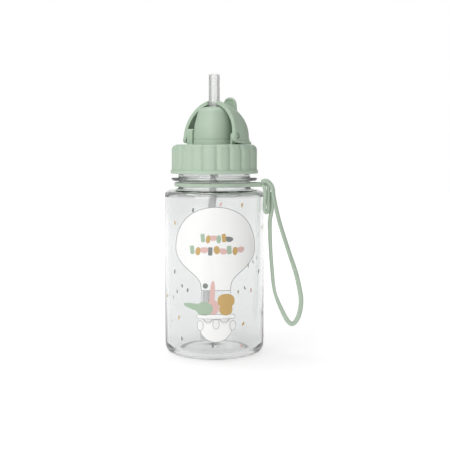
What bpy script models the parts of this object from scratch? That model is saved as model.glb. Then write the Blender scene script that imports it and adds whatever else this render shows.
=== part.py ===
"""Kids' straw bottle: clear body, screw collar with a straw dome, flip hood and a wrist strap.

Metres, +Z up. The origin is the centre of the base on the floor, -Y is the printed front
and +X is the side that the strap hangs on.
"""
import bpy
import bmesh
import math
from mathutils import Vector

# ---- driving dimensions -------------------------------------------------------------
GAP = 0.0003                  # clearance between touching pieces

BODY_R = 0.0330
WALL = 0.0021
SHOULDER_Z = 0.1050           # end of the straight wall
NECK_FOOT_Z = 0.1098
NECK_R = 0.0240
FLANGE_R = 0.0285
FLANGE_Z = (0.1155, 0.1174)
RIM_Z = 0.1340
RIM_BORE_R = 0.0214

THREAD_PITCH = 0.0040
THREAD_TURNS = 1.25
NECK_THREAD_Z = 0.1222
CAP_THREAD_Z = NECK_THREAD_Z + THREAD_PITCH / 2

COLLAR_R = 0.0283
COLLAR_FLARE_R = 0.0290
COLLAR_Z = 0.1202
COLLAR_BORE_R = 0.0254
DECK_Z = 0.1389
DECK_T = 0.0022
RIBS = 20
RIB_DEPTH = 0.0011
RIB_PHASE = math.radians(3.4)

LID_TURN = math.radians(-43.0)
PIVOT_Z = 0.1449              # hood hinge axis above the floor
PIVOT_F = 0.0020              # and how far it is in front of the bottle's axis
PIVOT_UP = PIVOT_Z - DECK_Z
PIN_R = 0.0016
PIN_END = 0.0225
SLIM_LUG_T = (0.0178, 0.0193)  # the near lug is slim, the far one is broad and also a stop
SLIM_LUG_HALF = 0.0021
BROAD_LUG_T = (-0.0193, -0.0144)
BROAD_LUG_F = (-0.0026, 0.0049)
LUG_UP = 0.0047

HOOD_R = 0.0229
HOOD_WALL = 0.0022
HOOD_SKIRT = 0.0053
HOOD_CURVE = 1.9              # exponent of the hood's side view: 2 is a circle, less is more pointed
HOOD_LOBE_R = 0.0055
HOOD_RIM_F = (0.0054, 0.0017)  # how far forward the rim is at the pivot and at the top
LIP_PROUD = 0.0007
LIP_WIDTH = 0.0023
LIP_HEM = 0.0016
NOTCH_HALF = 0.0042
THUMB_F = -0.0155
THUMB_SIZE = (0.0110, 0.0028)
THUMB_TOP = 0.0260

STRAW_R = 0.0036
STRAW_BORE = 0.0023
STRAW_TOP = 0.1856
STRAW_FOOT = 0.1368
SLEEVE_R = 0.0056
LOWER_STRAW_R = 0.0025

VENT_R = 0.0014               # stem of the vent valve
VENT_AT = Vector((math.cos(math.radians(86.0)), math.sin(math.radians(86.0)), 0.0)) * 0.0172

CORD_R = 0.0013
KNOT_CORD_R = 0.0010
LOOP_Z = 0.1130

LUG_FOOT = -PIVOT_UP - 0.0006  # sunk a little into the deck
SAGE = (0.46, 0.57, 0.46)
CLEAR = (0.86, 0.88, 0.89)
SILICONE = (0.88, 0.89, 0.88)


# ---- helpers ------------------------------------------------------------------------
def new_collection(name):
    collection = bpy.data.collections.new(name)
    bpy.context.scene.collection.children.link(collection)
    return collection


def new_material(name, colour, roughness, alpha=1.0):
    material = bpy.data.materials.new(name)
    material.use_nodes = True
    shader = material.node_tree.nodes["Principled BSDF"]
    shader.inputs["Base Color"].default_value = (*colour, 1.0)
    shader.inputs["Roughness"].default_value = roughness
    shader.inputs["Metallic"].default_value = 0.0
    shader.inputs["Alpha"].default_value = alpha
    return material


def place(name, data, collection, parent=None):
    piece = bpy.data.objects.new(name, data)
    collection.objects.link(piece)
    piece.parent = parent
    return piece


def arc(centre, radius, start, end, count):
    """Points of a circular arc in the (r, z) plane, angles in degrees."""
    points = []
    for i in range(count + 1):
        a = math.radians(start + (end - start) * i / count)
        points.append((centre[0] + radius * math.cos(a), centre[1] + radius * math.sin(a)))
    return points


def turned(name, profile, steps, parent=None, closed=True, collection=None):
    """A turned solid: the (r, z) profile at +X, outer side first, swept round Z."""
    mesh = bpy.data.meshes.new(name)
    edges = [(i, i + 1) for i in range(len(profile) - 1)]
    if closed:
        edges.append((len(profile) - 1, 0))
    mesh.from_pydata([(r, 0.0, z) for r, z in profile], edges, [])
    piece = place(name, mesh, collection or PARTS, parent)
    screw = piece.modifiers.new("turn", "SCREW")
    screw.steps = steps
    screw.render_steps = steps
    screw.use_merge_vertices = True
    screw.merge_threshold = 0.00001
    return piece


def frozen(piece):
    """The piece's evaluated shape as a plain mesh, welded, in place of its modifiers or curve."""
    bpy.context.view_layer.update()
    evaluated = piece.evaluated_get(bpy.context.evaluated_depsgraph_get())
    mesh = bpy.data.meshes.new_from_object(evaluated)
    work = bmesh.new()
    work.from_mesh(mesh)
    bmesh.ops.remove_doubles(work, verts=work.verts, dist=0.000005)
    work.to_mesh(mesh)
    work.free()
    name = piece.name
    collection = piece.users_collection[0]
    parent = piece.parent
    local = piece.matrix_local.copy()
    bpy.data.objects.remove(piece)
    solid = place(name, mesh, collection, parent)
    solid.matrix_local = local
    return solid


def cylinder(name, radius, low, high, collection, parent=None, sides=24):
    """A cylinder along Z between two heights."""
    mesh = bpy.data.meshes.new(name)
    work = bmesh.new()
    bmesh.ops.create_cone(work, cap_ends=True, segments=sides, radius1=radius, radius2=radius,
                          depth=high - low)
    bmesh.ops.translate(work, verts=work.verts, vec=(0.0, 0.0, (low + high) / 2))
    work.to_mesh(mesh)
    work.free()
    return place(name, mesh, collection, parent)


def slab(name, outline, thickness, collection, parent=None):
    """A flat outline in the piece's own XY plane, extruded both ways along its Z."""
    data = bpy.data.curves.new(name, "CURVE")
    data.dimensions = "2D"
    data.fill_mode = "BOTH"
    data.extrude = thickness / 2
    spline = data.splines.new("POLY")
    spline.points.add(len(outline) - 1)
    for point, (x, y) in zip(spline.points, outline):
        point.co = (x, y, 0.0, 1.0)
    spline.use_cyclic_u = True
    return frozen(place(name, data, collection, parent))


def side_view(piece):
    """Turn a slab whose outline is (forward, up) to stand across the lid's hinge axis."""
    piece.rotation_euler = (math.radians(90.0), 0.0, math.radians(-90.0))
    return piece


def tube(name, route, radius, collection, parent=None, roundness=2):
    """A round tube or cord along a route, closed at both ends."""
    data = bpy.data.curves.new(name, "CURVE")
    data.dimensions = "3D"
    data.bevel_depth = radius
    data.bevel_resolution = roundness
    data.use_fill_caps = True
    spline = data.splines.new("POLY")
    spline.points.add(len(route) - 1)
    for point, at in zip(spline.points, route):
        point.co = (*at, 1.0)
    return place(name, data, collection, parent)


def smooth_route(knots, spacing):
    """Points every `spacing` along a Catmull-Rom curve through the knots."""
    ends = [2 * knots[0] - knots[1]] + knots + [2 * knots[-1] - knots[-2]]
    fine = []
    for i in range(1, len(ends) - 2):
        a, b, c, d = ends[i - 1:i + 3]
        for k in range(40):
            t = k / 40
            fine.append(0.5 * (2 * b + (c - a) * t + (2 * a - 5 * b + 4 * c - d) * t ** 2
                               + (3 * b - a - 3 * c + d) * t ** 3))
    fine.append(knots[-1])
    total = sum((fine[i + 1] - fine[i]).length for i in range(len(fine) - 1))
    count = max(2, round(total / spacing))
    route = [fine[0]]
    walked = 0.0
    for i in range(1, len(fine)):
        walked += (fine[i] - fine[i - 1]).length
        if walked >= len(route) * total / count and len(route) < count:
            route.append(fine[i])
    route.append(fine[-1])
    return route


def boolean(piece, cutter, operation):
    step = piece.modifiers.new(operation.lower(), "BOOLEAN")
    step.operation = operation
    step.solver = "EXACT"
    step.object = cutter
    cutter.hide_render = True
    cutter.display_type = "WIRE"


def finish(piece, material, smooth_angle=35.0):
    if piece.type == "MESH":
        piece.data.shade_smooth()
        piece.data.set_sharp_from_angle(angle=math.radians(smooth_angle))
    piece.data.materials.clear()
    piece.data.materials.append(material)
    return piece


def helix(name, radius, wire, start_z, turns, start_angle):
    """A right-hand thread ridge: a round wire along a helix of the thread's pitch."""
    count = round(32 * turns)
    route = []
    for i in range(count + 1):
        a = start_angle + 2 * math.pi * turns * i / count
        route.append((radius * math.cos(a), radius * math.sin(a), start_z + THREAD_PITCH * turns * i / count))
    return frozen(tube(name, route, wire, CUTTERS, roundness=1))


# ---- bottle -------------------------------------------------------------------------
def make_bottle():
    """Blow-moulded clear body: foot ring, straight wall, flat shoulder, flanged threaded neck."""
    outer = [(NECK_R - 0.0006, RIM_Z), (NECK_R - 0.0001, RIM_Z - 0.0006)]
    outer += [(NECK_R - 0.0001, FLANGE_Z[1] + 0.0005), (NECK_R + 0.0004, FLANGE_Z[1])]
    outer += arc((FLANGE_R - 0.0009, sum(FLANGE_Z) / 2), 0.00095, 80, -80, 4)
    outer += [(NECK_R + 0.0004, FLANGE_Z[0]), (NECK_R, FLANGE_Z[0] - 0.0005)]
    outer += arc((NECK_R + 0.0012, NECK_FOOT_Z + 0.0008), 0.0012, 180, 260, 3)
    outer += arc((BODY_R - 0.0042, SHOULDER_Z), 0.0042, 68, 0, 5)
    outer += arc((BODY_R - 0.0072, 0.0072), 0.0072, 0, -90, 6)
    outer += [(0.0236, 0.0), (0.0220, 0.0008), (0.0160, 0.0018), (0.0, 0.0022)]
    inner = [(0.0, 0.0044), (0.0170, 0.0040), (0.0232, 0.0030)]
    inner += arc((BODY_R - WALL - 0.0056, 0.0080), 0.0056, -75, 0, 5)
    inner += arc((BODY_R - WALL - 0.0026, SHOULDER_Z), 0.0026, 0, 75, 4)
    inner += [(RIM_BORE_R + 0.0010, NECK_FOOT_Z - 0.0018), (RIM_BORE_R, NECK_FOOT_Z - 0.0004)]
    inner += [(RIM_BORE_R, RIM_Z - 0.0004), (RIM_BORE_R + 0.0004, RIM_Z)]
    body = turned("bottle_body", outer + inner, 48)
    boolean(body, helix("neck_thread", NECK_R, 0.00085, NECK_THREAD_Z, THREAD_TURNS, math.pi / 2), "UNION")
    return finish(body, new_material("clear_copolyester", CLEAR, 0.06, 0.35))


def make_sealing_ring():
    """Flat silicone ring that the rim presses against the deck."""
    low = RIM_Z + GAP
    high = DECK_Z - DECK_T - GAP
    profile = [(0.0214, high), (0.0249, high), (0.0249, low), (0.0214, low)]
    return finish(turned("sealing_ring", profile, 48), new_material("ring_silicone", SILICONE, 0.5))


# ---- collar and deck ----------------------------------------------------------------
def rib(vertex):
    """Scallop the grip: the radius drops between lobes by a |sine| of the angle."""
    r = math.hypot(vertex.co.x, vertex.co.y)
    angle = math.atan2(vertex.co.y, vertex.co.x) + math.pi / 2
    up = min(1.0, max(0.0, (vertex.co.z - COLLAR_Z - 0.0022) / 0.0010))
    out = min(1.0, max(0.0, (r - COLLAR_R + 0.0030) / 0.0022))
    drop = RIB_DEPTH * up * out * (1.0 - abs(math.sin(RIBS * (angle - RIB_PHASE) / 2)))
    scale = (r - drop) / r
    vertex.co.x *= scale
    vertex.co.y *= scale


def make_collar(lid):
    """Ribbed screw collar with its deck, the thread inside, two hinge brackets and their pins."""
    profile = [(SLEEVE_R + GAP, DECK_Z)]
    profile += arc((COLLAR_R - 0.0033, DECK_Z - 0.0033), 0.0033, 90, 0, 4)
    profile += [(COLLAR_R, COLLAR_Z + 0.0034), (COLLAR_R + 0.0002, COLLAR_Z + 0.0026)]
    profile += [(COLLAR_FLARE_R, COLLAR_Z + 0.0018), (COLLAR_FLARE_R, COLLAR_Z + 0.0003)]
    profile += [(COLLAR_FLARE_R - 0.0003, COLLAR_Z), (COLLAR_BORE_R + 0.0004, COLLAR_Z)]
    profile += [(COLLAR_BORE_R, COLLAR_Z + 0.0004), (COLLAR_BORE_R, DECK_Z - DECK_T)]
    profile += [(SLEEVE_R + GAP, DECK_Z - DECK_T)]
    blank = turned("screw_collar", profile, 4 * RIBS)
    blank.rotation_euler.z = RIB_PHASE - math.pi / 2
    collar = frozen(blank)
    collar.data.transform(collar.matrix_local)
    collar.matrix_local.identity()
    collar.rotation_euler.z = 0.0
    for vertex in collar.data.vertices:
        if math.hypot(vertex.co.x, vertex.co.y) > COLLAR_BORE_R + 0.0006:
            rib(vertex)
    thread = helix("cap_thread", COLLAR_BORE_R, 0.00085, CAP_THREAD_Z, THREAD_TURNS, math.pi / 2)
    boolean(collar, thread, "UNION")
    slim = [(PIVOT_F - SLIM_LUG_HALF, LUG_FOOT), (PIVOT_F + SLIM_LUG_HALF, LUG_FOOT)]
    slim += arc((PIVOT_F, 0.0), SLIM_LUG_HALF, 0, 180, 12)
    add_lug(collar, lid, slim, SLIM_LUG_T, 1)
    half = (BROAD_LUG_F[1] - BROAD_LUG_F[0]) / 2
    broad = [(BROAD_LUG_F[0], LUG_FOOT), (BROAD_LUG_F[1], LUG_FOOT)]
    broad += arc((sum(BROAD_LUG_F) / 2, LUG_UP - half), half, 0, 180, 16)
    add_lug(collar, lid, broad, BROAD_LUG_T, -1)
    vent = cylinder("vent_hole", VENT_R + GAP, DECK_Z - 0.0040, DECK_Z + 0.0010, CUTTERS, sides=16)
    vent.location = VENT_AT
    boolean(collar, vent, "DIFFERENCE")
    return finish(collar, new_material("sage_collar", SAGE, 0.42))


def add_lug(collar, lid, outline, across, side):
    """One round-topped hinge lug on the deck with its outward pin."""
    lug = side_view(slab("hinge_lug", outline, across[1] - across[0], CUTTERS, lid))
    lug.location.x = sum(across) / 2
    boolean(collar, lug, "UNION")
    pin = cylinder("hinge_pin", PIN_R, max(map(abs, across)) - 0.0010, PIN_END, CUTTERS, lid)
    pin.rotation_euler.y = side * math.pi / 2
    pin.location.y = -PIVOT_F
    boolean(collar, pin, "UNION")


def make_vent():
    """Small silicone umbrella valve that lets air in as the straw is used."""
    top = DECK_Z + GAP
    under = DECK_Z - DECK_T - GAP
    profile = [(0.0, top + 0.0010), (0.0022, top + 0.0007), (0.0025, top + 0.0002), (0.0025, top)]
    profile += [(VENT_R, top), (VENT_R, under), (0.0020, under), (0.0020, under - 0.0008)]
    profile += [(0.0009, under - 0.0030), (0.0, under - 0.0030)]
    valve = turned("vent_valve", profile, 20, closed=False)
    valve.location = VENT_AT
    return finish(valve, new_material("valve_silicone", SILICONE, 0.5))


def make_dome():
    """Round-shouldered straw dome on the deck, a hollow moulding with a hole for the straw."""
    base = DECK_Z + GAP
    up = PIVOT_Z
    outer = [(STRAW_R + GAP, up + 0.0194), (0.0062, up + 0.0189), (0.0082, up + 0.0182)]
    outer += [(0.0097, up + 0.0173), (0.0106, up + 0.0162), (0.0114, up + 0.0146)]
    outer += [(0.0121, up + 0.0122), (0.0130, up + 0.0080), (0.0135, up + 0.0020)]
    outer += [(0.0136, up - 0.0040), (0.0140, base + 0.0006), (0.0140, base)]
    inner = [(0.0118, base), (0.0118, up + 0.0010), (0.0108, up + 0.0100), (0.0088, up + 0.0160)]
    inner += [(0.0070, up + 0.0169), (STRAW_R + GAP, up + 0.0174)]
    return finish(turned("spout_dome", outer + inner, 48), new_material("sage_dome", SAGE, 0.42))


def make_hood(lid, hinge):
    """Flip-over hood: a part-sphere over a straight skirt, with a lip and a thumb tab."""
    hood = shell("hood", HOOD_R, HOOD_R - HOOD_WALL, hinge, PARTS)
    hood.location.y = PIVOT_F
    lip = shell("hood_lip", HOOD_R + LIP_PROUD, HOOD_R - HOOD_WALL / 2, lid, CUTTERS)
    band = side_view(slab("lip_band", rim_band(), 0.08, CUTTERS, lid))
    boolean(lip, band, "INTERSECT")
    boolean(hood, lip, "UNION")
    front = side_view(slab("hood_front", front_outline(), 0.08, CUTTERS, lid))
    boolean(hood, front, "DIFFERENCE")
    boolean(hood, make_thumb(lid), "UNION")
    bore = slab("straw_notch", notch_outline(), 0.020, CUTTERS, lid)
    bore.location.z = 0.020
    boolean(hood, bore, "DIFFERENCE")
    for side in (-1, 1):
        hole = cylinder("pin_hole", PIN_R + GAP, 0.015, 0.030, CUTTERS, lid)
        hole.rotation_euler.y = side * math.pi / 2
        hole.location.y = -PIVOT_F
        boolean(hood, hole, "DIFFERENCE")
    return finish(hood, new_material("sage_hood", SAGE, 0.42))


def shell(name, outer_r, inner_r, lid, collection):
    """A rounded dome over a short cylinder, with a wall."""
    profile = pointed_arc(outer_r, 90, 0, 12) + [(outer_r, -HOOD_SKIRT), (inner_r, -HOOD_SKIRT)]
    profile += pointed_arc(inner_r, 0, 90, 12)
    return turned(name, profile, 48, lid, closed=False, collection=collection)


def pointed_arc(radius, start, end, count):
    """A quarter of the superellipse |r|^n + |z|^n = radius^n, angles in degrees."""
    power = 2.0 / HOOD_CURVE
    points = []
    for r, z in arc((0.0, 0.0), 1.0, start, end, count):
        points.append((radius * max(r, 0.0) ** power, radius * max(z, 0.0) ** power))
    return points


def rim_line(offset):
    """Two points of the hood's front rim, (forward, up), moved back by an offset."""
    high = 0.030
    slope = (HOOD_RIM_F[1] - HOOD_RIM_F[0]) / HOOD_R
    return (HOOD_RIM_F[0] - offset, 0.0), (HOOD_RIM_F[0] + slope * high - offset, high)


def front_outline():
    """Everything in front of the hood's rim and below its round hinge lobe."""
    low, high = rim_line(0.0)
    start = -math.degrees(math.acos((low[0] - PIVOT_F) / HOOD_LOBE_R))
    lobe = arc((PIVOT_F, 0.0), HOOD_LOBE_R, start, -90, 6)
    return [high, low] + lobe + [(PIVOT_F, -0.012), (0.040, -0.012), (0.040, high[1])]


def rim_band():
    """The strip along the front rim and the hem that the raised lip keeps."""
    low, high = rim_line(LIP_WIDTH)
    hem = LIP_HEM - HOOD_SKIRT
    return [high, low, (low[0], hem), (-0.040, hem), (-0.040, -0.012), (0.040, -0.012), (0.040, high[1])]


def make_thumb(lid):
    """Round-topped thumb tab standing on the hood's crown."""
    half = THUMB_SIZE[0] / 2
    outline = [(half, 0.0150)] + arc((0.0, THUMB_TOP - half), half, 0, 180, 12) + [(-half, 0.0150)]
    tab = slab("thumb_tab", outline, THUMB_SIZE[1], CUTTERS, lid)
    tab.rotation_euler = (math.radians(90.0), 0.0, 0.0)
    tab.location.y = -THUMB_F
    return tab


def notch_outline():
    """U-shaped notch, seen from above, open to the front."""
    back = arc((0.0, 0.0), NOTCH_HALF, 0, 180, 12)
    return [(NOTCH_HALF, -0.010)] + back + [(-NOTCH_HALF, -0.010)]


# ---- straw --------------------------------------------------------------------------
def make_mouth_straw():
    """Soft silicone mouth straw through the top of the dome."""
    profile = [(STRAW_BORE + 0.0002, STRAW_TOP), (STRAW_R - 0.0002, STRAW_TOP)]
    profile += [(STRAW_R, STRAW_TOP - 0.0002), (STRAW_R, STRAW_FOOT)]
    profile += [(STRAW_BORE, STRAW_FOOT), (STRAW_BORE, STRAW_TOP - 0.0002)]
    return finish(turned("mouth_straw", profile, 32), new_material("straw_silicone", SILICONE, 0.3, 0.7))


def make_straw_sleeve():
    """Silicone sleeve in the deck that joins the mouth straw to the lower straw."""
    top = DECK_Z + GAP
    profile = [(STRAW_R + GAP, top + 0.0014), (0.0075, top + 0.0014), (0.0075, top), (SLEEVE_R, top)]
    profile += [(SLEEVE_R, 0.1262), (SLEEVE_R - 0.0006, 0.1256), (LOWER_STRAW_R + GAP, 0.1256)]
    profile += [(LOWER_STRAW_R + GAP, STRAW_FOOT - 0.0010), (STRAW_R + GAP, STRAW_FOOT - 0.0010)]
    return finish(turned("straw_sleeve", profile, 32), new_material("sleeve_silicone", SILICONE, 0.5))


def make_lower_straw():
    """Stiff lower straw from the sleeve to just above the bottle's floor."""
    line = [(0.0, 0.0, 0.1350), (0.0, 0.0, 0.1250), (-0.0004, 0.0, 0.1150)]
    line += [(-0.0040, 0.0006, 0.0600), (-0.0072, 0.0012, 0.0080)]
    outside = frozen(tube("lower_straw", line, LOWER_STRAW_R, PARTS, roundness=3))
    over = [(x, y, z + 0.001 * (1 if i == 0 else 0) - 0.001 * (1 if i == 4 else 0))
            for i, (x, y, z) in enumerate(line)]
    bore = frozen(tube("straw_bore", over, LOWER_STRAW_R - 0.0007, CUTTERS, roundness=2))
    boolean(outside, bore, "DIFFERENCE")
    return finish(outside, new_material("frosted_straw", SILICONE, 0.5, 0.6))


# ---- strap --------------------------------------------------------------------------
# Routes are chosen by hand, in millimetres.
FRONT_END = (30.6, -9.9, 113.0)
BACK_END = (31.0, -6.0, 113.2)
KNOT_ROUTE = [
    (31.8, -10.3, 112.7), (32.9, -10.8, 110.8), (33.2, -10.9, 107.0), (33.0, -10.9, 101.0),
    (32.9, -10.9, 97.0), (34.2, -10.4, 94.6), (35.5, -9.8, 97.0), (35.4, -9.5, 103.0),
    (35.6, -9.2, 108.0), (35.7, -8.8, 111.4), (34.3, -7.8, 113.2), (32.6, -6.9, 113.3),
]
WRIST_ROUTE = [
    (31.2, -10.2, 116.0), (32.8, -10.6, 117.0), (34.9, -10.7, 116.3), (36.9, -10.6, 114.0),
    (38.3, -10.4, 110.8), (38.8, -10.0, 106.8), (39.5, -9.8, 103.0), (41.3, -9.8, 94.6),
    (43.5, -10.0, 86.1), (48.8, -10.5, 69.6), (54.0, -11.0, 53.8), (57.0, -11.0, 39.5),
    (56.9, -11.0, 32.0), (55.3, -11.0, 25.6), (52.2, -11.0, 21.2), (48.6, -11.0, 22.8),
    (43.7, -10.8, 32.0), (39.6, -10.5, 43.3), (37.9, -10.0, 58.4), (36.9, -9.8, 73.2),
    (36.5, -9.4, 88.3), (37.7, -8.2, 96.0), (37.7, -6.9, 102.0), (37.0, -6.2, 107.6),
]


def millimetres(points):
    return [Vector(point) * 0.001 for point in points]


def neck_route():
    """Round the neck from the front end to the back end, leaving the neck at tangents."""
    radius = NECK_R + GAP + CORD_R
    front, back = millimetres([FRONT_END, BACK_END])
    leave = math.atan2(front.y, front.x) - math.acos(radius / math.hypot(front.x, front.y))
    arrive = math.atan2(back.y, back.x) + math.acos(radius / math.hypot(back.x, back.y)) - 2 * math.pi
    knots = [front]
    turns = 14
    for i in range(turns + 1):
        a = leave + (arrive - leave) * i / turns
        knots.append(Vector((radius * math.cos(a), radius * math.sin(a), LOOP_Z)))
    return knots + [back]


def make_strap():
    """Flat woven cord: a loop round the neck, the hitch and the wrist loop."""
    cord = new_material("sage_cord", SAGE, 0.8)
    finish(tube("neck_loop", smooth_route(neck_route(), 0.0055), CORD_R, PARTS), cord)
    finish(tube("strap_knot", smooth_route(millimetres(KNOT_ROUTE), 0.0022), KNOT_CORD_R, PARTS), cord)
    finish(tube("wrist_loop", smooth_route(millimetres(WRIST_ROUTE), 0.0040), CORD_R, PARTS), cord)


# ---- assembly -----------------------------------------------------------------------
for leftover in list(bpy.data.objects):
    bpy.data.objects.remove(leftover)

PARTS = new_collection("kids_water_bottle")
CUTTERS = new_collection("cutters")

lid_frame = place("lid_frame", None, PARTS)
lid_frame.location.z = PIVOT_Z
lid_frame.rotation_euler.z = LID_TURN
hood_hinge = place("hood_hinge", None, PARTS, lid_frame)
hood_hinge.location.y = -PIVOT_F

make_bottle()
make_sealing_ring()
make_collar(lid_frame)
make_vent()
make_dome()
make_hood(lid_frame, hood_hinge)
make_mouth_straw()
make_straw_sleeve()
make_lower_straw()
make_strap()
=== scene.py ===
"""Looks of a kids' straw bottle: clear body, sage lid, soft straw and a flat cord strap.

Metres, +Z up. Shapes are written in millimetres where that reads better, and MM turns them to metres.
"""
import math

import bmesh
import bpy
import numpy as np
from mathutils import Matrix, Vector


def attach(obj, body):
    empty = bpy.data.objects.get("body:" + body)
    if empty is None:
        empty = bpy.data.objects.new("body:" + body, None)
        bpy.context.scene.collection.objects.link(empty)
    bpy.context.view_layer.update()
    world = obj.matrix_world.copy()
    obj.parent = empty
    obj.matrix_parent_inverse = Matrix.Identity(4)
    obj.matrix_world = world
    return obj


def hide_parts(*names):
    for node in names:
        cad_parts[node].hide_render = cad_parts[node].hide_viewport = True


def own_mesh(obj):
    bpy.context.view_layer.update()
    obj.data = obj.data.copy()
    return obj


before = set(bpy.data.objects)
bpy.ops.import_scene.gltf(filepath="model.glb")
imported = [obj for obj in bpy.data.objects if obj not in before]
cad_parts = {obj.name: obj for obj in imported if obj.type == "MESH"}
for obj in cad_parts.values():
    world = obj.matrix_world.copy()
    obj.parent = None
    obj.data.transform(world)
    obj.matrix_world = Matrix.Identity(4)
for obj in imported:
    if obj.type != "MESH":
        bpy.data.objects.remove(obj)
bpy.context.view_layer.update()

MM = 0.001


# ---- bottle body ---------------------------------------------------------------------
# Clear copolyester, stretch-blown in a polished mould: a 2 mm wall, a pushed-up base with a
# foot ring, a flat shoulder and an injection-moulded neck with a flange and an outside thread.

def linear(colour):
    """An sRGB hex colour as linear red, green, blue and 1."""
    channels = np.array([int(colour[i:i + 2], 16) / 255 for i in (1, 3, 5)])
    low = channels / 12.92
    high = ((channels + 0.055) / 1.055) ** 2.4
    return (*np.where(channels <= 0.04045, low, high), 1.0)


def add(tree, kind, sockets=(), **settings):
    """Adds a node. Settings are its own properties, and sockets pairs an input with a value or an output."""
    made = tree.nodes.new(kind)
    for name, value in settings.items():
        setattr(made, name, value)
    for socket, value in sockets:
        if isinstance(value, bpy.types.NodeSocket):
            tree.links.new(value, made.inputs[socket])
        else:
            made.inputs[socket].default_value = value
    return made


def new_finish(name, **sockets):
    """A material with one Principled shader; returns the material, its tree and the shader."""
    material = bpy.data.materials.new(name)
    material.use_nodes = True
    tree = material.node_tree
    shader = tree.nodes["Principled BSDF"]
    for socket, value in sockets.items():
        shader.inputs[socket.replace("_", " ")].default_value = value
    return material, tree, shader


def piece(name, points, faces, material, body, node=None, sharp=40.0, uv=None):
    """A mesh from point and quad arrays, merged where points meet, facing out, riding on a body."""
    mesh = bpy.data.meshes.new(name)
    mesh.vertices.add(len(points))
    mesh.vertices.foreach_set("co", np.ascontiguousarray(points, np.float32).ravel())
    mesh.loops.add(faces.size)
    mesh.loops.foreach_set("vertex_index", np.ascontiguousarray(faces, np.int32).ravel())
    mesh.polygons.add(len(faces))
    mesh.polygons.foreach_set("loop_start", np.arange(0, faces.size, faces.shape[1], dtype=np.int32))
    mesh.update(calc_edges=True)
    if uv is not None:
        mesh.uv_layers.new(name="weave").data.foreach_set("uv", np.ascontiguousarray(uv, np.float32).ravel())
    work = bmesh.new()
    work.from_mesh(mesh)
    bmesh.ops.remove_doubles(work, verts=work.verts, dist=0.000002)
    bmesh.ops.recalc_face_normals(work, faces=work.faces)
    work.to_mesh(mesh)
    work.free()
    mesh.shade_smooth()
    mesh.set_sharp_from_angle(angle=math.radians(sharp))
    mesh.materials.append(material)
    made = bpy.data.objects.new(name, mesh)
    bpy.context.scene.collection.objects.link(made)
    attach(made, body)
    if node:
        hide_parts(node)
    return made


def quads(rows, columns, close_rows=False, close_columns=False):
    """The corner numbers of the quads of a grid, which may join its last row or column to its first."""
    index = np.arange(rows * columns).reshape(rows, columns)
    if close_rows:
        index = np.vstack([index, index[:1]])
    if close_columns:
        index = np.hstack([index, index[:, :1]])
    return np.stack([index[:-1, :-1], index[1:, :-1], index[1:, 1:], index[:-1, 1:]], axis=-1).reshape(-1, 4)


def rounded(corners, steps=6, closed=False):
    """A profile in metres from corners (r, z, radius) in millimetres.

    Each corner becomes an arc of its radius: the arc's centre lies on the corner's bisector, and
    the arc starts and ends radius / tan(half the corner's angle) away from the corner.
    """
    given = np.array(corners, float) * MM
    count = len(given)
    out = []
    for i in range(count):
        here, radius = given[i, :2], given[i, 2]
        if radius == 0 or (not closed and i in (0, count - 1)):
            out.append(here[None])
            continue
        back = given[i - 1, :2] - here
        on = given[(i + 1) % count, :2] - here
        back, on = back / np.linalg.norm(back), on / np.linalg.norm(on)
        half = np.arccos(np.clip(back @ on, -1, 1)) / 2
        centre = here + (back + on) / np.linalg.norm(back + on) * radius / np.sin(half)
        first = here + back * radius / np.tan(half) - centre
        last = here + on * radius / np.tan(half) - centre
        a, b = np.arctan2(first[1], first[0]), np.arctan2(last[1], last[0])
        b = a + (b - a + np.pi) % (2 * np.pi) - np.pi
        angle = np.linspace(a, b, steps + 1)[:, None]
        out.append(centre + radius * np.hstack([np.cos(angle), np.sin(angle)]))
    return np.vstack(out)


def turn(profile, steps, shape=None):
    """A profile (r, z) swept round Z: x = r cos a, y = r sin a. shape(r, z, a) may change r."""
    angle = np.arange(steps) * 2 * np.pi / steps
    r = np.repeat(profile[:, :1], steps, axis=1)
    z = np.repeat(profile[:, 1:], steps, axis=1)
    a = np.broadcast_to(angle, r.shape)
    if shape:
        r = shape(r, z, a)
    return np.stack([r * np.cos(a), r * np.sin(a), z], axis=-1).reshape(-1, 3)


def turned(name, profile, steps, material, body, node=None, closed=False, shape=None, sharp=40.0):
    """A turned profile as a piece: a closed one is a ring, and an open one starts and ends on the axis."""
    points = turn(profile, steps, shape)
    faces = quads(len(profile), steps, close_rows=closed, close_columns=True)
    return piece(name, points, faces, material, body, node, sharp)


def finer(profile, low, high, spacing):
    """The profile with points added every `spacing` along it between two distances."""
    along = np.concatenate([[0], np.cumsum(np.linalg.norm(np.diff(profile, axis=0), axis=1))])
    at = np.unique(np.concatenate([along, np.arange(low, high, spacing)]))
    return np.stack([np.interp(at, along, profile[:, k]) for k in range(2)], axis=1)


BODY_R, WALL = 33.0, 2.1
NECK_R, BORE_R, RIM_Z = 23.9, 21.4, 134.0
PITCH, NECK_THREAD_Z, THREAD_TURNS, THREAD_UP, THREAD_HALF = 4.0, 122.2, 1.25, 0.85, 0.85

body_profile = rounded([
    (0, 2.3, 0), (20.5, 1.7, 6.0), (23.0, 0.0, 1.6), (BODY_R, 0.0, 7.2), (BODY_R, 109.1, 4.2),
    (NECK_R, 110.4, 1.2), (NECK_R, 115.4, 0.6), (28.5, 115.6, 0.95), (28.5, 117.5, 0.95),
    (NECK_R, 117.7, 0.7), (NECK_R, RIM_Z, 0.7), (BORE_R, RIM_Z, 0.6), (BORE_R, 108.8, 1.6),
    (BODY_R - WALL, 107.1, 2.6), (BODY_R - WALL, 2.4, 5.6), (21.0, 3.4, 8.0), (0, 4.4, 0),
], steps=8)
# Points every 1.6 mm over the outside, the bore and a little of the inside, for the thread to stand on.
body_profile = finer(body_profile, 0.0, 250 * MM, 1.6 * MM)


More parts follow.
